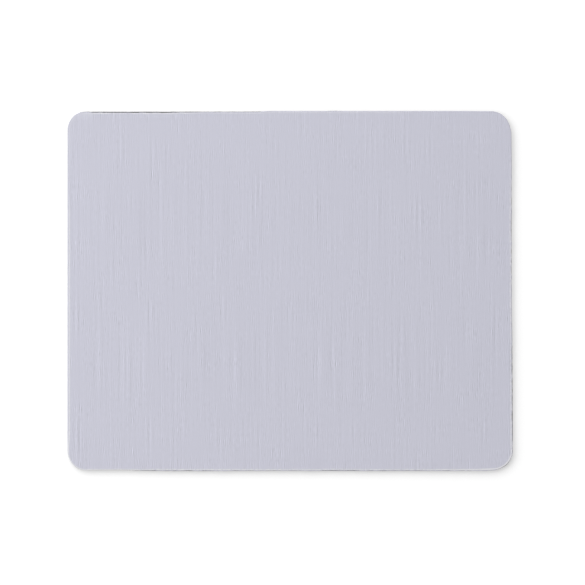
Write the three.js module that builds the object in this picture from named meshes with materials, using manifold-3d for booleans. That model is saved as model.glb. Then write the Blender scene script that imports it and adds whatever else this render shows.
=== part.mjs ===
// A desk mouse pad: a knit cloth bonded by a hot-melt film to a foam rubber base whose underside is embossed
// with zigzag grip grooves. One blade stroke cuts all three layers to a rectangle with round corners.
// Millimetres, +Z up. The origin is the centre of the underside, and +X runs along the long side.
import * as THREE from "three";
import { mergeVertices, toCreasedNormals } from "three/addons/utils/BufferGeometryUtils.js";
import Module from "manifold-3d";

// Outline, measured at the foot of the base
const padLength = 220;
const padWidth = 178;
const cornerRadius = 10;

// Layers, from the desk up
const baseThickness = 2.45;
const filmThickness = 0.1;
const clothThickness = 0.45;

// Edge: the foam springs back after the cut, so its foot stands out past the cloth
const footFlare = 0.2;
const clothEdgeRound = 0.25;

// Grip grooves across the underside; widths and heights are measured along Y, and the border stays plain
const groovePitch = 5;
const grooveWidth = 1.4;
const grooveDepth = 0.3;
const zigzagPeriod = 20;
const zigzagHeight = 4;
const grooveBorder = 3.5;

// Steps in each quarter turn of a corner, and in the round of the cloth's edge
const cornerSteps = 10;
const edgeSteps = 3;

// How far a cutter reaches past the surface that it cuts
const cutterOverrun = 1;

// Faces that meet at less than this angle are shaded as one smooth surface
const creaseAngle = Math.PI / 6;

const wasm = await Module();
wasm.setup();

// The pad's outline moved in by a setback, counter-clockwise
function outlinePoints(setback) {
  const centreX = padLength / 2 - cornerRadius;
  const centreY = padWidth / 2 - cornerRadius;
  const radius = cornerRadius - setback;
  const corners = [
    [centreX, centreY],
    [-centreX, centreY],
    [-centreX, -centreY],
    [centreX, -centreY],
  ];
  return corners.flatMap(([x, y], quarter) => {
    const start = (quarter * Math.PI) / 2;
    const arc = new THREE.EllipseCurve(x, y, radius, radius, start, start + Math.PI / 2);
    return arc.getPoints(cornerSteps);
  });
}

// A closed slab whose wall passes through the given rings, each a setback and a height, from the bottom up
function slab(rings) {
  const outlines = rings.map(({ setback }) => outlinePoints(setback));
  const count = outlines[0].length;
  const positions = outlines.flatMap((points, i) => points.flatMap((p) => [p.x, p.y, rings[i].height]));
  const indices = [];
  for (let ring = 0; ring < rings.length - 1; ring++) {
    for (let i = 0; i < count; i++) {
      const low = ring * count + i;
      const lowNext = ring * count + ((i + 1) % count);
      indices.push(low, lowNext, lowNext + count, low, lowNext + count, low + count);
    }
  }
  const lastRing = (rings.length - 1) * count;
  for (const [a, b, c] of THREE.ShapeUtils.triangulateShape(outlines[0], [])) {
    indices.push(a, c, b);
  }
  for (const [a, b, c] of THREE.ShapeUtils.triangulateShape(outlines.at(-1), [])) {
    indices.push(lastRing + a, lastRing + b, lastRing + c);
  }
  const geometry = new THREE.BufferGeometry();
  geometry.setAttribute("position", new THREE.Float32BufferAttribute(positions, 3));
  geometry.setIndex(indices);
  return geometry;
}

// A geometry as a solid that can be cut
function solidOf(geometry) {
  const bare = geometry.clone();
  bare.deleteAttribute("normal");
  bare.deleteAttribute("uv");
  const merged = mergeVertices(bare);
  return new wasm.Manifold(
    new wasm.Mesh({
      numProp: 3,
      vertProperties: new Float32Array(merged.attributes.position.array),
      triVerts: new Uint32Array(merged.index.array),
    }),
  );
}

// A cut solid as a geometry
function geometryOf(solid) {
  const mesh = solid.getMesh();
  const geometry = new THREE.BufferGeometry();
  geometry.setAttribute("position", new THREE.BufferAttribute(mesh.vertProperties, 3));
  geometry.setIndex(new THREE.BufferAttribute(mesh.triVerts, 1));
  return geometry;
}

// One groove's cutter: a zigzag band along X, through its centre line at x = 0, that runs past both ends
function grooveCutter(centreY) {
  const halfPeriod = zigzagPeriod / 2;
  const crests = Math.ceil((padLength / 2 + cutterOverrun) / halfPeriod) + 1;
  const middle = [];
  for (let i = -crests; i < crests; i++) {
    const side = i % 2 === 0 ? 1 : -1;
    middle.push(new THREE.Vector2((i + 0.5) * halfPeriod, centreY + (side * zigzagHeight) / 2));
  }
  const across = new THREE.Vector2(0, grooveWidth / 2);
  const nearSide = middle.map((p) => p.clone().sub(across));
  const farSide = middle.map((p) => p.clone().add(across)).reverse();
  const band = new THREE.Shape([...nearSide, ...farSide]);
  const cutter = new THREE.ExtrudeGeometry(band, { depth: grooveDepth + cutterOverrun, bevelEnabled: false });
  return solidOf(cutter.translate(0, 0, -cutterOverrun));
}

// Foam rubber base: leaning cut wall, and whole grooves in the underside with a land through the origin
function rubberBase() {
  const sheet = solidOf(
    slab([
      { setback: 0, height: 0 },
      { setback: footFlare, height: baseThickness },
    ]),
  );
  const field = solidOf(
    slab([
      { setback: grooveBorder, height: -cutterOverrun },
      { setback: grooveBorder, height: grooveDepth + cutterOverrun },
    ]),
  );
  const reach = padWidth / 2 - grooveBorder - zigzagHeight / 2 - grooveWidth / 2;
  const groovesEachSide = Math.floor(reach / groovePitch + 0.5);
  let grooved = sheet;
  for (let i = -groovesEachSide; i < groovesEachSide; i++) {
    grooved = grooved.subtract(grooveCutter((i + 0.5) * groovePitch).intersect(field));
  }
  return geometryOf(grooved);
}

// Hot-melt film between the base and the cloth
function adhesiveFilm() {
  return slab([
    { setback: footFlare, height: baseThickness },
    { setback: footFlare, height: baseThickness + filmThickness },
  ]);
}

// Knit cloth with the top of its cut edge pressed round
function clothTop() {
  const underside = baseThickness + filmThickness;
  const top = underside + clothThickness;
  const round = Math.min(clothEdgeRound, clothThickness);
  const rings = [{ setback: footFlare, height: underside }];
  for (let step = 0; step <= edgeSteps; step++) {
    const angle = (step / edgeSteps) * (Math.PI / 2);
    rings.push({
      setback: footFlare + round * (1 - Math.cos(angle)),
      height: top - round * (1 - Math.sin(angle)),
    });
  }
  return slab(rings);
}

// A named piece with its finish
function piece(name, geometry, finish) {
  const shaded = toCreasedNormals(geometry, creaseAngle);
  const mesh = new THREE.Mesh(shaded, new THREE.MeshStandardMaterial(finish));
  mesh.name = name;
  return mesh;
}

const mousePad = new THREE.Group();
mousePad.add(
  piece("rubber_base", rubberBase(), { color: 0x1d1d1f, roughness: 0.85, metalness: 0 }),
  piece("adhesive_film", adhesiveFilm(), { color: 0xa9a69c, roughness: 0.45, metalness: 0 }),
  piece("cloth_top", clothTop(), { color: 0xc8c8d4, roughness: 0.95, metalness: 0 }),
);

export default mousePad;
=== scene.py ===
import math

import bmesh
import bpy
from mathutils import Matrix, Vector, noise


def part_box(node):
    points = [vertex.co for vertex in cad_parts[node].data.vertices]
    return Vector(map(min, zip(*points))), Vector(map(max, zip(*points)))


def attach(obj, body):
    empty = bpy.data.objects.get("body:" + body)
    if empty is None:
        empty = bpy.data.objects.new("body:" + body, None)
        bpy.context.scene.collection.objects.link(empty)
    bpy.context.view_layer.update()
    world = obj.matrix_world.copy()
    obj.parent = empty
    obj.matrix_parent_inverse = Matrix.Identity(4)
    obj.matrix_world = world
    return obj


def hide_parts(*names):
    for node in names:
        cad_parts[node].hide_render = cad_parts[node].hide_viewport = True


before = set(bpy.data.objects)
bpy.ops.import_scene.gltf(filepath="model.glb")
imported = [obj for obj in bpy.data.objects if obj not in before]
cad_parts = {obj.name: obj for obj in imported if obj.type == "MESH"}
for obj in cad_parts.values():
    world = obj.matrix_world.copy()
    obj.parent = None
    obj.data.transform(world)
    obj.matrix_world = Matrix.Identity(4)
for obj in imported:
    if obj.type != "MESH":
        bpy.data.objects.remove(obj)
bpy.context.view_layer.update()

# Units, and plain white
MM = 0.001
WHITE = (1, 1, 1, 1)

# Layers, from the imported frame
BASE_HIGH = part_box("rubber_base")[1]
FILM_LOW, FILM_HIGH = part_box("adhesive_film")
CLOTH_LOW, CLOTH_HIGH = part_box("cloth_top")

# The blade's outline, which the cloth and the film share; a profile of a half makes its corners circular
HALF_LENGTH = CLOTH_HIGH.x
HALF_WIDTH = CLOTH_HIGH.y
CORNER_RADIUS = 9.8 * MM
CORNER_STEPS = 18
CORNER_PROFILE = 0.5
EDGE_STEP = 0.6 * MM

# Places round the outline are turns in degrees, counter-clockwise from the middle of the right side, on the
# outline stretched to a square: its corners are at 45, 135, 225 and 315.
# How far the blade strayed outwards
BLADE_DRIFT = (
    (0, -0.15 * MM),
    (10, -0.17 * MM),
    (14, -0.17 * MM),
    (17, -0.27 * MM),
    (21, -0.27 * MM),
    (25, -0.16 * MM),
    (28, -0.15 * MM),
    (36, -0.08 * MM),
    (41, -0.24 * MM),
    (42.6, -0.62 * MM),
    (43.8, -0.60 * MM),
    (45, -0.46 * MM),
    (46, -0.24 * MM),
    (48, 0.04 * MM),
    (54, 0.10 * MM),
    (95, 0.10 * MM),
    (99, -0.34 * MM),
    (110, -0.42 * MM),
    (116, -0.56 * MM),
    (117.2, -0.61 * MM),
    (118.2, -0.80 * MM),
    (120, -0.72 * MM),
    (124, -0.72 * MM),
    (131.5, -0.69 * MM),
    (132.2, -0.38 * MM),
    (132.8, -0.34 * MM),
    (133.5, 0.05 * MM),
    (135, 0.18 * MM),
    (136.5, 0.13 * MM),
    (138.5, -0.05 * MM),
    (150, -0.04 * MM),
    (221, 0.00 * MM),
    (223, 0.06 * MM),
    (225, 0.22 * MM),
    (226, 0.20 * MM),
    (228, -0.20 * MM),
    (233, -0.25 * MM),
    (236, 0.05 * MM),
    (245, 0.15 * MM),
    (276, 0.15 * MM),
    (283, 0.03 * MM),
    (290, 0.15 * MM),
    (310, 0.15 * MM),
    (312.5, -0.12 * MM),
    (313.5, -0.06 * MM),
    (316, 0.30 * MM),
    (317.5, 0.44 * MM),
    (319.5, 0.22 * MM),
    (327, 0.18 * MM),
    (345, 0.10 * MM),
    (360, -0.15 * MM),
)
DRIFT_FADE = 15 * MM

# How far the foot of the foam stands out past the cloth
FOOT_FLARE = (
    (0, 0.14 * MM),
    (10, 0.18 * MM),
    (14, 0.18 * MM),
    (17, 0.28 * MM),
    (21, 0.28 * MM),
    (25, 0.18 * MM),
    (36, 0.05 * MM),
    (75, 0.05 * MM),
    (79, 0.24 * MM),
    (83, 0.05 * MM),
    (95, 0.05 * MM),
    (99, 0.28 * MM),
    (110, 0.33 * MM),
    (116, 0.45 * MM),
    (117.2, 0.49 * MM),
    (118.2, 0.67 * MM),
    (120, 0.60 * MM),
    (131.5, 0.56 * MM),
    (132.2, 0.34 * MM),
    (132.8, 0.30 * MM),
    (135, -0.02 * MM),
    (222, -0.08 * MM),
    (233, -0.06 * MM),
    (238, 0.23 * MM),
    (245, 0.24 * MM),
    (257, 0.18 * MM),
    (262, 0.12 * MM),
    (274, 0.12 * MM),
    (283, 0.28 * MM),
    (288, 0.22 * MM),
    (305, 0.19 * MM),
    (310, 0.14 * MM),
    (312.5, 0.02 * MM),
    (316, 0.22 * MM),
    (319, 0.28 * MM),
    (321, 0.42 * MM),
    (323, 0.40 * MM),
    (332, 0.33 * MM),
    (345, 0.28 * MM),
    (352, 0.16 * MM),
    (360, 0.14 * MM),
)
FLARE_CURVE = 1.5

# Cut wall of the foam: it is drawn in at mid-height, its foot wanders, and torn cells leave it rough
WALL_RINGS = 8
WALL_HOLLOW = 0.10 * MM
WALL_WANDER = 0.06 * MM
WALL_WANDER_LENGTH = 2.8 * MM
WALL_CELL = 0.7 * MM
WALL_ROUGHNESS = 0.05 * MM

# Grip grooves across the underside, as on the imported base, with a plain border and a narrow ring by the wall
GROOVE_PITCH = 5 * MM
GROOVE_WIDTH = 1.4 * MM
GROOVE_DEPTH = 0.3 * MM
GROOVE_SLOPE = 0.1 * MM
ZIGZAG_PERIOD = 20 * MM
ZIGZAG_HEIGHT = 4 * MM
GROOVE_BORDER = 3.5 * MM
GROOVE_REACH = BASE_HIGH.y - GROOVE_BORDER - (ZIGZAG_HEIGHT + GROOVE_WIDTH) / 2
GROOVES_EACH_SIDE = math.floor(GROOVE_REACH / GROOVE_PITCH + 0.5)
FOOT_RING = 0.3 * MM

# Cloth: a short standing edge, then a pressed round that runs into the flat, which swells a little
EDGE_STAND = 0.12 * MM
PRESS_REACH = 0.25 * MM
PRESS_STEPS = 5
FLAT_RINGS = 3
FLAT_RING = 0.3 * MM
CLOTH_CELL = 4 * MM
SURFACE_SWELL = 0.04 * MM
SURFACE_SWELL_LENGTH = 35 * MM

# Fray of the cut edge: its longest waves, how many lengths of wave there are, how many times shorter each is
# than the one before, and how fast they grow fainter
EDGE_FRAY_LENGTH = 3.5 * MM
EDGE_FRAY_OCTAVES = 3
EDGE_FRAY_STEP = 2
EDGE_FRAY_FALL = 1

# How far the cut edge of the cloth frays in and out
EDGE_FRAY = (
    (0, 0.22 * MM),
    (10, 0.28 * MM),
    (28, 0.28 * MM),
    (38, 0.06 * MM),
    (97, 0.06 * MM),
    (120, 0.11 * MM),
    (131.5, 0.11 * MM),
    (132.2, 0.04 * MM),
    (232, 0.04 * MM),
    (238, 0.24 * MM),
    (250, 0.24 * MM),
    (260, 0.20 * MM),
    (310, 0.20 * MM),
    (325, 0.28 * MM),
    (340, 0.24 * MM),
    (360, 0.22 * MM),
)

# Light line that the press left: how far inside the cut it runs, and half its width
RIM_CENTRE = (
    (0, 0.55 * MM),
    (60, 0.75 * MM),
    (97, 0.75 * MM),
    (117, 0.40 * MM),
    (131.5, 0.40 * MM),
    (132.2, 0.90 * MM),
    (150, 0.85 * MM),
    (218, 0.85 * MM),
    (224, 0.25 * MM),
    (233, 0.25 * MM),
    (240, 0.55 * MM),
    (360, 0.55 * MM),
)
RIM_REACH = 0.45 * MM

# How plain the light line is
RIM_LEVEL = (
    (0, 0.56),
    (25, 0.56),
    (40, 0.00),
    (58, 0.00),
    (66, 0.32),
    (112, 0.32),
    (117, 0.80),
    (130, 0.80),
    (135, 0.24),
    (152, 0.24),
    (157, 0.80),
    (215, 0.80),
    (225, 1.44),
    (232, 1.44),
    (238, 1.04),
    (262, 1.04),
    (280, 0.80),
    (300, 0.80),
    (312, 2.00),
    (325, 0.80),
    (360, 0.56),
)

# How unevenly the light line is worn
RIM_WEAR = (
    (0, 5.5),
    (40, 4.0),
    (130, 4.0),
    (140, 1.2),
    (220, 1.2),
    (238, 4.5),
    (300, 4.5),
    (312, 1.5),
    (325, 5.5),
    (360, 5.5),
)

# Film: squeezed out a little or held back, along the edge
FILM_SQUEEZE = 0.05 * MM
FILM_SQUEEZE_LENGTH = 2.5 * MM

# Edges sharper than this stay crisp
CREASE = math.radians(40)

# A cut closer than this to a vertex goes through the vertex
CUT_SNAP = 0.001 * MM

# Vertices and faces are numbered along this slant, so that each run writes the same mesh
NUMBERING = Vector((math.sqrt(2), math.sqrt(3), math.sqrt(5)))

# Noise in the finishes: its middle, and the octaves of finer noise in the grain and in the dust
NOISE_MIDDLE = 0.5
GRAIN_DETAIL = 2.0
DUST_DETAIL = 6.0

# Knit finish: the width of a column of loops and the height of a row; the legs of a loop, which climb to the
# column's middle by a slant in rows for each column, and what is left of their height between rows; how far a
# loop stands out, and the painted shade that darkens its hollow against its crown
CLOTH_COLOUR = (0.602, 0.602, 0.691)
WALE = 0.82 * MM
COURSE = 0.58 * MM
COLUMN_MIDDLE = 0.5
LOOP_LEGS = 2
LOOP_SLANT = 1.6
LOOP_WAIST = 0.4
LOOP_RELIEF = 0.08 * MM
LOOP_PAINTED_SHADE = (0.93, 1.02)

# The columns wander, by a share of a column
KNIT_WANDER = 0.8
KNIT_WANDER_PATCH = (15 * MM, 40 * MM)

# Uneven yarns, stronger in patches and fainter towards the far side: columns that lean show a light and a
# dark side, painted into the colour as light and shade beside their relief, every third column stands out in a
# faint rib, and stray yarns are all light or dark, in short and in long stretches. A patch is a width across
# the columns and a length along, and the far share is the strength at the far edge against the middle of the
# pad.
LEAN_SHADE_PATCH = (1.6 * MM, 5.5 * MM)
LEAN_PAINTED_SHADE = 1.70
RIB_COLUMNS = 3
RIB_PATCH = (6 * MM, 28 * MM)
RIB_SHADE = 0.52
SHORT_PATCH = (0.55 * MM, 2.5 * MM)
SHORT_SHADE = 0.42
LONG_PATCH = (0.7 * MM, 70 * MM)
LONG_SHADE = 0.45
YARN_PATCH = (10 * MM, 14 * MM)
YARN_PATCH_STRENGTH = (-0.3, 2.2)
YARN_FAR_SHARE = 0.85
YARN_RELIEF = 0.10 * MM
CLOTH_ROUGHNESS = (0.97, 0.87)
CLOTH_SPECULAR = 0.2
CLOTH_SHEEN = 0.1

# Pressed rim of the cloth, worn in patches
RIM_COLOUR = (0.77, 0.77, 0.80)
RIM_PATCH = 1.4 * MM

# Film finish, from thin to thick
FILM_THIN = (0.16, 0.155, 0.15)
FILM_THICK = (0.50, 0.48, 0.44)
FILM_CLOT = 1.5 * MM
FILM_RELIEF = 0.04 * MM
FILM_ROUGHNESS = (0.35, 0.6)

# Foam finish: open cells on the cut wall and a pebbled skin elsewhere, darker in the cells' bottom and lighter
# on their rims and on the pebbles, which is painted shade in the hollows, with the lightening stronger where
# there is dust
FOAM_DARK = (0.008, 0.008, 0.009)
FOAM_LIT_RIMS_AND_DUST = (0.040, 0.040, 0.042)
FOAM_CELL = 0.45 * MM
FOAM_RELIEF = 0.12 * MM
SKIN_PEBBLE = 0.6 * MM
DUST_PATCH = 9 * MM
DUST_TONE = (0.4, 1.2)
FOAM_ROUGHNESS = (0.7, 0.95)
FOAM_SPECULAR = 0.35

# Photograph: the camera looks straight down on the cloth
IMAGE_SIDE = 289.1 * MM
CAMERA_LENS = 200
CAMERA_SENSOR = 36
CAMERA_AIM = (1.41 * MM, -0.82 * MM)

# Light: shares of the plain level at which a colour renders as written
WORLD_SHARE = 0.28
KEY_SHARE = 0.38
SIDE_SHARE = 0.32
KEY_DISTANCE = 8.0
KEY_SIZE = 9.0
KEY_AZIMUTH = 112
KEY_ELEVATION = 44
SIDE_DISTANCE = 1.5
SIDE_SIZE = 1.6
SIDE_AZIMUTH = 166
SIDE_ELEVATION = 37

# Floor: its colour, and the glow that turns it white to the eye, near the pad and far from it
FLOOR_RADIUS = 1.5
FLOOR_SIDES = 96
FLOOR_DROP = 0.05 * MM
FLOOR_COLOUR = 0.56
FLOOR_GLOW_NEAR = 0.50
FLOOR_GLOW_FAR = 1.0
FLOOR_GLOW_START = 0.2
FLOOR_GLOW_END = 0.5


def smooth(share):
    """Eases a share from 0 to 1, with level ends."""
    share = min(max(share, 0.0), 1.0)
    return share * share * (3 - 2 * share)


def around(stations, place):
    """The amount at a place on the outline, eased between its stations."""
    turn = math.degrees(math.atan2(place.y / HALF_WIDTH, place.x / HALF_LENGTH)) % 360
    for (start, first), (end, last) in zip(stations, stations[1:]):
        if turn <= end:
            return first + (last - first) * smooth((turn - start) / (end - start))


def from_edge(place):
    """How far inside the blade's outline a place is, and which way is out."""
    past = Vector((abs(place.x) - HALF_LENGTH + CORNER_RADIUS, abs(place.y) - HALF_WIDTH + CORNER_RADIUS))
    beyond = Vector((max(past.x, 0), max(past.y, 0)))
    inside = CORNER_RADIUS - beyond.length - min(max(past), 0)
    if beyond.length == 0:
        beyond = Vector((1, 0)) if past.x > past.y else Vector((0, 1))
    beyond.normalize()
    out = Vector((math.copysign(beyond.x, place.x), math.copysign(beyond.y, place.y), 0))
    return inside, out


def drift(place):
    """The blade's stray at a place, which fades towards the middle of the pad."""
    inside, out = from_edge(place)
    return out * around(BLADE_DRIFT, place) * smooth(1 - inside / DRIFT_FADE)


def faces_in(geometry):
    """The faces among the elements that an operator made."""
    return [g for g in geometry if isinstance(g, bmesh.types.BMFace)]


def verts_in(geometry):
    """The vertices among the elements that an operator made."""
    return [g for g in geometry if isinstance(g, bmesh.types.BMVert)]


def outline_edges(bm):
    """The edges with a face on one side only."""
    return [e for e in bm.edges if e.is_boundary]


def score(bm, faces, point, normal):
    """Cuts the faces along a plane and returns the pieces."""
    edges = list({e for f in faces for e in f.edges})
    verts = list({v for f in faces for v in f.verts})
    made = bmesh.ops.bisect_plane(
        bm, geom=verts + edges + faces, dist=CUT_SNAP, plane_co=point, plane_no=normal
    )
    return faces_in(made["geom"])


def rounded_plate(height):
    """One flat face with the blade's outline."""
    bm = bmesh.new()
    bmesh.ops.create_grid(bm, x_segments=1, y_segments=1, size=1)
    bmesh.ops.scale(bm, vec=(HALF_LENGTH, HALF_WIDTH, 1), verts=bm.verts)
    bmesh.ops.translate(bm, vec=(0, 0, height), verts=bm.verts)
    bmesh.ops.bevel(
        bm,
        geom=bm.verts[:],
        offset=CORNER_RADIUS,
        offset_type="OFFSET",
        affect="VERTICES",
        segments=CORNER_STEPS,
        profile=CORNER_PROFILE,
    )
    return bm


def divide_outline(bm):
    """Splits the outline's long edges into short steps."""
    for edge in outline_edges(bm):
        cuts = round(edge.calc_length() / EDGE_STEP) - 1
        if cuts > 0:
            bmesh.ops.bisect_edges(bm, edges=[edge], cuts=cuts)


def checker(bm, faces, cell):
    """Cuts flat faces into square cells, centred on the pad."""
    for half, normal in ((HALF_LENGTH, Vector((1, 0, 0))), (HALF_WIDTH, Vector((0, 1, 0)))):
        count = int(half / cell)
        for i in range(-count, count + 1):
            faces = score(bm, faces, normal * i * cell, normal)


def plain_border(bm):
    """Sets the underside's border apart, with a narrow ring beside the cut, and returns the rest."""
    field = bm.faces[:]
    border = GROOVE_BORDER - (BASE_HIGH.x - HALF_LENGTH)
    for width in (FOOT_RING, border - FOOT_RING):
        bmesh.ops.inset_region(bm, faces=field, thickness=width, use_boundary=True, use_even_offset=True)
    return field


def zigzag(strip):
    """How far the grooves rise across one straight strip of the zigzag."""
    return ZIGZAG_HEIGHT if strip % 2 == 0 else -ZIGZAG_HEIGHT


def score_grooves(bm, field):
    """Cuts the field along both sides of every zigzag groove, one straight strip at a time."""
    strip_width = ZIGZAG_PERIOD / 2
    strips_each_side = math.ceil(HALF_LENGTH / strip_width)
    for i in range(-strips_each_side, strips_each_side):
        field = score(bm, field, Vector(((i + 0.5) * strip_width, 0, 0)), Vector((1, 0, 0)))
    strips = {}
    for face in field:
        strips.setdefault(round(face.calc_center_median().x / strip_width), []).append(face)
    cut = []
    for strip, faces in strips.items():
        normal = Vector((-zigzag(strip), strip_width, 0))
        for i in range(-GROOVES_EACH_SIDE, GROOVES_EACH_SIDE):
            middle = (i + 0.5) * GROOVE_PITCH
            for side in (middle - GROOVE_WIDTH / 2, middle + GROOVE_WIDTH / 2):
                faces = score(bm, faces, Vector((strip * strip_width, side, 0)), normal)
        cut += faces
    return cut


def in_groove(place):
    """Whether a place on the underside lies in a groove."""
    strip_width = ZIGZAG_PERIOD / 2
    strip = round(place.x / strip_width)
    along = place.y - zigzag(strip) * (place.x / strip_width - strip)
    if abs(along) > GROOVES_EACH_SIDE * GROOVE_PITCH:
        return False
    return abs((along / GROOVE_PITCH) % 1 - 0.5) * GROOVE_PITCH < GROOVE_WIDTH / 2


def press_grooves(bm, field):
    """Presses the grooves into the field, with sloped sides."""
    grooves = [f for f in field if in_groove(f.calc_center_median())]
    bmesh.ops.inset_region(bm, faces=grooves, thickness=GROOVE_SLOPE, depth=0, use_even_offset=True)
    for vert in {v for f in grooves for v in f.verts}:
        vert.co.z = GROOVE_DEPTH


def raise_wall(bm):
    """Draws the outline up in rings and closes the top."""
    rim = outline_edges(bm)
    for ring in range(WALL_RINGS):
        made = bmesh.ops.extrude_edge_only(bm, edges=rim)["geom"]
        for vert in verts_in(made):
            vert.co.z = BASE_HIGH.z * (ring + 1) / WALL_RINGS
        rim = outline_edges(bm)
    bmesh.ops.contextual_create(bm, geom=rim)


def roughen_wall(bm):
    """Flares, hollows and roughens the cut wall, and marks it as cut."""
    cut = bm.verts.layers.float.new("cut")
    for vert in bm.verts:
        inside, out = from_edge(vert.co)
        if inside > CUT_SNAP:
            continue
        vert[cut] = 1
        up = vert.co.z / BASE_HIGH.z
        flare = around(FOOT_FLARE, vert.co) * (1 - up) ** FLARE_CURVE
        # The full hollow at mid-height, and none at the wall's foot and top
        hollow = WALL_HOLLOW * 4 * up * (1 - up)
        wander = WALL_WANDER * noise.noise(vert.co / WALL_WANDER_LENGTH) * (1 - up)
        cells = WALL_ROUGHNESS * noise.noise(vert.co / WALL_CELL)
        vert.co += out * (flare - hollow + wander + cells)


def close_piece(name, bm, material):
    """Turns a finished bmesh into a piece that rides the pad's body, and hides the imported part of its name.
    """
    for vert in bm.verts:
        vert.co += drift(vert.co)
    bmesh.ops.recalc_face_normals(bm, faces=bm.faces)
    bm.verts.sort(key=lambda vert: NUMBERING.dot(vert.co))
    bm.faces.sort(key=lambda face: NUMBERING.dot(face.calc_center_median()))
    mesh = bpy.data.meshes.new(name)
    bm.to_mesh(mesh)
    bm.free()
    mesh.shade_smooth()
    mesh.set_sharp_from_angle(angle=CREASE)
    mesh.materials.append(material)
    piece = bpy.data.objects.new(name + "_soft", mesh)
    bpy.context.collection.objects.link(piece)
    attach(piece, "root")
    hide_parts(name)
    return piece


class Finish:
    """A material under construction: each call adds nodes and returns the socket that holds the result."""

    def __init__(self, name):
        self.material = bpy.data.materials.new(name)
        self.material.use_nodes = True
        self.tree = self.material.node_tree
        self.shader = self.tree.nodes["Principled BSDF"]
        self.place = self.add("ShaderNodeTexCoord", output="Object")

    def add(self, kind, inputs=None, output=0, **settings):
        """A new node's output, with the given inputs and settings."""
        node = self.tree.nodes.new(kind)
        for name, value in settings.items():
            setattr(node, name, value)
        for name, value in (inputs or {}).items():
            self.feed(node.inputs[name], value)
        return node.outputs[output]

    def feed(self, socket, value):
        """Links a socket to the value, or sets it to a plain one."""
        if isinstance(value, bpy.types.NodeSocket):
            self.tree.links.new(value, socket)
        else:
            socket.default_value = value

    def math(self, operation, first, second=0.0):
        """The result of an operation on one or two values."""
        return self.add("ShaderNodeMath", {0: first, 1: second}, operation=operation)

    def scaled(self, x, y, z=1.0):
        """Object coordinates, counted in cells; those without a height pass right through the pad."""
        return self.add(
            "ShaderNodeVectorMath", {0: self.place, 1: (1 / x, 1 / y, 1 / z)}, operation="MULTIPLY"
        )

    def cubes(self, length):
        """Object coordinates, counted in cubes of one length."""
        return self.scaled(length, length, length)

    def noise(self, vector, detail=0.0):
        """Smooth noise from 0 to 1, with one wave to a cell."""
        return self.add("ShaderNodeTexNoise", {"Vector": vector, "Scale": 1.0, "Detail": detail})

    def stray(self, vector, detail=0.0):
        """Smooth noise as far below 0 as above it."""
        return self.math("SUBTRACT", self.noise(vector, detail), NOISE_MIDDLE)

    def humps(self, value):
        """A row of round humps, one for each whole number, from 0 to 1."""
        return self.math("ABSOLUTE", self.math("SINE", self.math("MULTIPLY", value, math.pi)))

    def wave(self, value):
        """Even waves, one for each whole number, from -1 to 1."""
        return self.math("SINE", self.math("MULTIPLY", value, 2 * math.pi))

    def spread(self, value, low, high):
        """Maps a value from 0 to 1 onto low to high."""
        return self.add("ShaderNodeMapRange", {"Value": value, "To Min": low, "To Max": high}, clamp=False)

    def tint(self, colour, level):
        """A colour made darker or lighter by a level."""
        return self.add("ShaderNodeVectorMath", {0: colour, "Scale": level}, operation="SCALE")

    def attribute(self, name):
        """An amount kept on the piece's vertices."""
        return self.add("ShaderNodeAttribute", attribute_name=name, output="Fac")

    def mix(self, share, first, second, kind="RGBA"):
        """The first colour or value turned into the second by a share."""
        node = self.tree.nodes.new("ShaderNodeMix")
        node.data_type = kind
        self.feed(node.inputs["Factor"], share)
        self.feed(node.inputs["A"], first)
        self.feed(node.inputs["B"], second)
        return next(output for output in node.outputs if output.enabled)

    def bump(self, height, distance):
        """The surface's normal, with a relief as deep as the distance."""
        return self.add("ShaderNodeBump", {"Height": height, "Distance": distance, "Strength": 1.0})

    def set(self, **sockets):
        """Gives the shader its values, by the names of its sockets."""
        for name, value in sockets.items():
            self.feed(self.shader.inputs[name.replace("_", " ")], value)


def sparse_patches(finish, width, length, shade):
    """Patches lighter and darker than 0, most of them faint and a few strong."""
    stray = finish.stray(finish.scaled(width, length))
    strength = finish.math("MULTIPLY", finish.math("ABSOLUTE", stray), shade)
    return finish.math("MULTIPLY", stray, strength)


def uneven_yarns_and_lean_shade(finish, column):
    """How much lighter or darker the yarns are than the rest of the cloth, and the painted shade of leaning
    columns.
    """
    rib = finish.wave(finish.math("DIVIDE", column, RIB_COLUMNS))
    ribs = finish.math("MULTIPLY", sparse_patches(finish, *RIB_PATCH, RIB_SHADE), rib)
    # One side of a leaning column is painted lighter and the other darker: painted light and shade
    side = finish.wave(column)
    painted_lean_shade = finish.math("MULTIPLY", sparse_patches(finish, *LEAN_SHADE_PATCH, LEAN_PAINTED_SHADE), side)
    yarns_and_lean_shade = finish.math("ADD", ribs, painted_lean_shade)
    yarns_and_lean_shade = finish.math("ADD", yarns_and_lean_shade, sparse_patches(finish, *SHORT_PATCH, SHORT_SHADE))
    yarns_and_lean_shade = finish.math("ADD", yarns_and_lean_shade, sparse_patches(finish, *LONG_PATCH, LONG_SHADE))
    patch = finish.noise(finish.scaled(*YARN_PATCH))
    yarns_and_lean_shade = finish.math("MULTIPLY", yarns_and_lean_shade, finish.spread(patch, *YARN_PATCH_STRENGTH))
    far = finish.add("ShaderNodeSeparateXYZ", {0: finish.scaled(1, HALF_WIDTH)}, output="Y")
    return finish.math("MULTIPLY", yarns_and_lean_shade, finish.spread(far, 1.0, YARN_FAR_SHARE))


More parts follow.
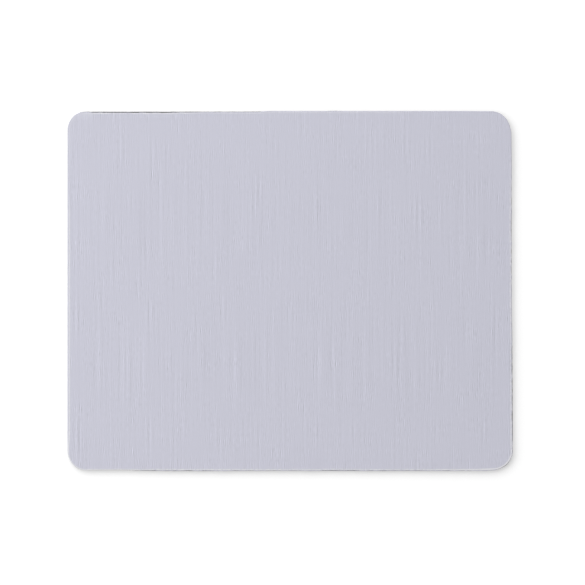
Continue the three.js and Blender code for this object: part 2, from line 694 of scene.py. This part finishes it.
def knit_cloth():
    """Pale polyester knit: columns of slanted loops, shade painted in their hollows, uneven yarns, and a
    lighter pressed rim.
    """
    finish = Finish("knit_cloth")
    split = finish.tree.nodes.new("ShaderNodeSeparateXYZ")
    finish.feed(split.inputs[0], finish.scaled(WALE, COURSE))
    wander = finish.math("MULTIPLY", finish.noise(finish.scaled(*KNIT_WANDER_PATCH)), KNIT_WANDER)
    column = finish.math("ADD", split.outputs[0], wander)
    leg = finish.math("SQRT", finish.humps(finish.math("MULTIPLY", column, LOOP_LEGS)))
    climb = finish.math("MULTIPLY", finish.math("PINGPONG", column, COLUMN_MIDDLE), LOOP_SLANT)
    row = finish.math("ADD", split.outputs[1], climb)
    loop = finish.math("MULTIPLY", leg, finish.spread(finish.humps(row), LOOP_WAIST, 1.0))
    yarns_and_lean_shade = uneven_yarns_and_lean_shade(finish, column)
    # Yarn tone with the painted light and shade of leaning columns, times the painted shade of each loop's
    # hollow
    level = finish.math("MULTIPLY", finish.math("ADD", yarns_and_lean_shade, 1), finish.spread(loop, *LOOP_PAINTED_SHADE))
    height = finish.math("ADD", loop, finish.math("MULTIPLY", yarns_and_lean_shade, YARN_RELIEF / LOOP_RELIEF))
    patch = finish.stray(finish.cubes(RIM_PATCH), detail=GRAIN_DETAIL)
    wear = finish.math("MULTIPLY", finish.attribute("wear"), patch)
    worn = finish.math("ADD", finish.attribute("rim"), wear)
    finish.set(
        Base_Color=finish.mix(worn, finish.tint(CLOTH_COLOUR, level), (*RIM_COLOUR, 1)),
        Roughness=finish.spread(loop, *CLOTH_ROUGHNESS),
        Specular_IOR_Level=CLOTH_SPECULAR,
        Sheen_Weight=CLOTH_SHEEN,
        Normal=finish.bump(height, LOOP_RELIEF),
    )
    return finish.material


def hot_melt_film():
    """Milky adhesive, thicker in some places than in others."""
    finish = Finish("hot_melt_film")
    clots = finish.noise(finish.cubes(FILM_CLOT), detail=GRAIN_DETAIL)
    finish.set(
        Base_Color=finish.mix(clots, (*FILM_THIN, 1), (*FILM_THICK, 1)),
        Roughness=finish.spread(clots, *FILM_ROUGHNESS),
        Normal=finish.bump(clots, FILM_RELIEF),
    )
    return finish.material


def foam_rubber():
    """Black foam rubber: open cells on the cut wall, a pebbled skin elsewhere, shade painted in hollows, and a
    little dust.
    """
    finish = Finish("foam_rubber")
    cells = finish.add("ShaderNodeTexVoronoi", {"Vector": finish.cubes(FOAM_CELL), "Scale": 1.0})
    pebbles = finish.noise(finish.cubes(SKIN_PEBBLE), detail=GRAIN_DETAIL)
    grain = finish.mix(finish.attribute("cut"), pebbles, cells, kind="FLOAT")
    dust = finish.noise(finish.cubes(DUST_PATCH), detail=DUST_DETAIL)
    # Rims and pebble tops painted lighter and hollows darker, as painted shade, the more so in dusty patches
    tone = finish.math("MULTIPLY", grain, finish.spread(dust, *DUST_TONE))
    finish.set(
        Base_Color=finish.mix(tone, (*FOAM_DARK, 1), (*FOAM_LIT_RIMS_AND_DUST, 1)),
        Roughness=finish.spread(dust, *FOAM_ROUGHNESS),
        Specular_IOR_Level=FOAM_SPECULAR,
        Normal=finish.bump(grain, FOAM_RELIEF),
    )
    return finish.material


def make_base():
    """The foam rubber base, with a rough cut wall and a grooved underside."""
    bm = rounded_plate(0)
    divide_outline(bm)
    field = plain_border(bm)
    field = score_grooves(bm, field)
    press_grooves(bm, field)
    raise_wall(bm)
    roughen_wall(bm)
    piece = close_piece("rubber_base", bm, foam_rubber())


def make_film():
    """The adhesive film, with an uneven edge."""
    bm = rounded_plate(FILM_LOW.z)
    divide_outline(bm)
    made = bmesh.ops.extrude_face_region(bm, geom=bm.faces[:], use_keep_orig=True)["geom"]
    bmesh.ops.translate(bm, vec=(0, 0, FILM_HIGH.z - FILM_LOW.z), verts=verts_in(made))
    for vert in bm.verts:
        out = from_edge(vert.co)[1]
        vert.co += out * FILM_SQUEEZE * (noise.noise(vert.co / FILM_SQUEEZE_LENGTH) - 1)
    piece = close_piece("adhesive_film", bm, hot_melt_film())


def press_edge(bm, top):
    """Rounds the edge of a flat top in rings, and adds a few level rings beside it."""
    rise = CLOTH_HIGH.z - CLOTH_LOW.z - EDGE_STAND
    for step in range(PRESS_STEPS):
        start = math.pi / 2 * step / PRESS_STEPS
        end = math.pi / 2 * (step + 1) / PRESS_STEPS
        bmesh.ops.inset_region(
            bm,
            faces=top,
            thickness=PRESS_REACH * (math.cos(start) - math.cos(end)),
            depth=rise * (math.sin(end) - math.sin(start)),
            use_boundary=True,
            use_even_offset=True,
        )
    for _ in range(FLAT_RINGS):
        bmesh.ops.inset_region(bm, faces=top, thickness=FLAT_RING, use_boundary=True, use_even_offset=True)


def make_cloth():
    """The knit cloth, with a pressed rim and a frayed cut edge."""
    bm = rounded_plate(CLOTH_LOW.z)
    divide_outline(bm)
    made = bmesh.ops.extrude_face_region(bm, geom=bm.faces[:], use_keep_orig=True)["geom"]
    bmesh.ops.translate(bm, vec=(0, 0, EDGE_STAND), verts=verts_in(made))
    top = faces_in(made)
    press_edge(bm, top)
    checker(bm, top, CLOTH_CELL)
    rim = bm.verts.layers.float.new("rim")
    wear = bm.verts.layers.float.new("wear")
    for vert in bm.verts:
        inside, out = from_edge(vert.co)
        edge = smooth(1 - inside / PRESS_REACH)
        line = smooth(1 - abs(inside - around(RIM_CENTRE, vert.co)) / RIM_REACH)
        vert[rim] = line * around(RIM_LEVEL, vert.co)
        vert[wear] = vert[rim] * around(RIM_WEAR, vert.co)
        fray = noise.fractal(
            vert.co / EDGE_FRAY_LENGTH, EDGE_FRAY_FALL, EDGE_FRAY_STEP, EDGE_FRAY_OCTAVES
        )
        vert.co += out * edge * around(EDGE_FRAY, vert.co) * fray
        if vert.co.z > CLOTH_LOW.z + EDGE_STAND:
            vert.co.z += SURFACE_SWELL * (noise.noise(vert.co / SURFACE_SWELL_LENGTH) - 1) * (1 - edge)
    piece = close_piece("cloth_top", bm, knit_cloth())


def seen_rays(tree):
    """1 for rays that show a thing to the eye, by gloss and glass too, and 0 for rays that light the pad."""
    path = tree.nodes.new("ShaderNodeLightPath")
    seen = path.outputs["Is Camera Ray"]
    for kind in ("Is Glossy Ray", "Is Transmission Ray"):
        either = tree.nodes.new("ShaderNodeMath")
        either.operation = "MAXIMUM"
        tree.links.new(seen, either.inputs[0])
        tree.links.new(path.outputs[kind], either.inputs[1])
        seen = either.outputs[0]
    return seen


def make_floor():
    """A pale floor that glows only to the eye, so that it turns white and keeps the shadow."""
    bm = bmesh.new()
    bmesh.ops.create_circle(bm, cap_ends=True, segments=FLOOR_SIDES, radius=FLOOR_RADIUS)
    bmesh.ops.translate(bm, vec=(0, 0, -FLOOR_DROP), verts=bm.verts)
    mesh = bpy.data.meshes.new("floor")
    bm.to_mesh(mesh)
    bm.free()
    finish = Finish("pale_floor")
    reach = finish.add("ShaderNodeVectorMath", {0: finish.place}, output="Value", operation="LENGTH")
    glow = finish.add(
        "ShaderNodeMapRange",
        {
            "Value": reach,
            "From Min": FLOOR_GLOW_START,
            "From Max": FLOOR_GLOW_END,
            "To Min": FLOOR_GLOW_NEAR,
            "To Max": FLOOR_GLOW_FAR,
        },
    )
    finish.set(
        Base_Color=(FLOOR_COLOUR, FLOOR_COLOUR, FLOOR_COLOUR, 1),
        Roughness=1.0,
        Specular_IOR_Level=0.0,
        Emission_Color=WHITE,
        Emission_Strength=finish.math("MULTIPLY", seen_rays(finish.tree), glow),
    )
    mesh.materials.append(finish.material)
    floor = bpy.data.objects.new("floor", mesh)
    bpy.context.collection.objects.link(floor)


def make_world():
    """Even light all round, seen as white."""
    world = bpy.data.worlds.new("studio")
    bpy.context.scene.world = world
    world.use_nodes = True
    nodes, links = world.node_tree.nodes, world.node_tree.links
    strength = nodes.new("ShaderNodeMapRange")
    strength.inputs["To Min"].default_value = WORLD_SHARE
    strength.inputs["To Max"].default_value = 1.0
    links.new(seen_rays(world.node_tree), strength.inputs["Value"])
    background = nodes["Background"]
    background.inputs["Color"].default_value = WHITE
    links.new(strength.outputs[0], background.inputs["Strength"])


def make_softbox(name, share, distance, size, azimuth, elevation):
    """A square lamp aimed at the pad, with the power that gives its share of the plain level there."""
    turn, tilt = math.radians(azimuth), math.radians(elevation)
    towards = Vector((math.cos(turn) * math.cos(tilt), math.sin(turn) * math.cos(tilt), math.sin(tilt)))
    # A sixth of the side squared is the mean square offset of a square's points from its middle
    mean_square_reach = distance**2 + size**2 / 6
    lamp = bpy.data.lights.new(name, "AREA")
    lamp.size = size
    lamp.energy = share * math.pi**2 * mean_square_reach**2 / distance**2 / math.sin(tilt)
    softbox = bpy.data.objects.new(name, lamp)
    softbox.location = towards * distance
    softbox.rotation_euler = towards.to_track_quat("Z", "Y").to_euler()
    bpy.context.collection.objects.link(softbox)


def make_camera():
    """The camera, straight above the pad, with the image side as its view of the cloth."""
    data = bpy.data.cameras.new("camera")
    data.lens = CAMERA_LENS
    data.sensor_width = CAMERA_SENSOR
    camera = bpy.data.objects.new("camera", data)
    camera.location = (*CAMERA_AIM, CLOTH_HIGH.z + IMAGE_SIDE * CAMERA_LENS / CAMERA_SENSOR)
    bpy.context.collection.objects.link(camera)
    bpy.context.scene.camera = camera


bpy.context.scene.view_settings.view_transform = "Standard"
make_camera()
make_world()
make_softbox("key", KEY_SHARE, KEY_DISTANCE, KEY_SIZE, KEY_AZIMUTH, KEY_ELEVATION)
make_softbox("side", SIDE_SHARE, SIDE_DISTANCE, SIDE_SIZE, SIDE_AZIMUTH, SIDE_ELEVATION)
make_floor()
make_base()
make_film()
make_cloth()
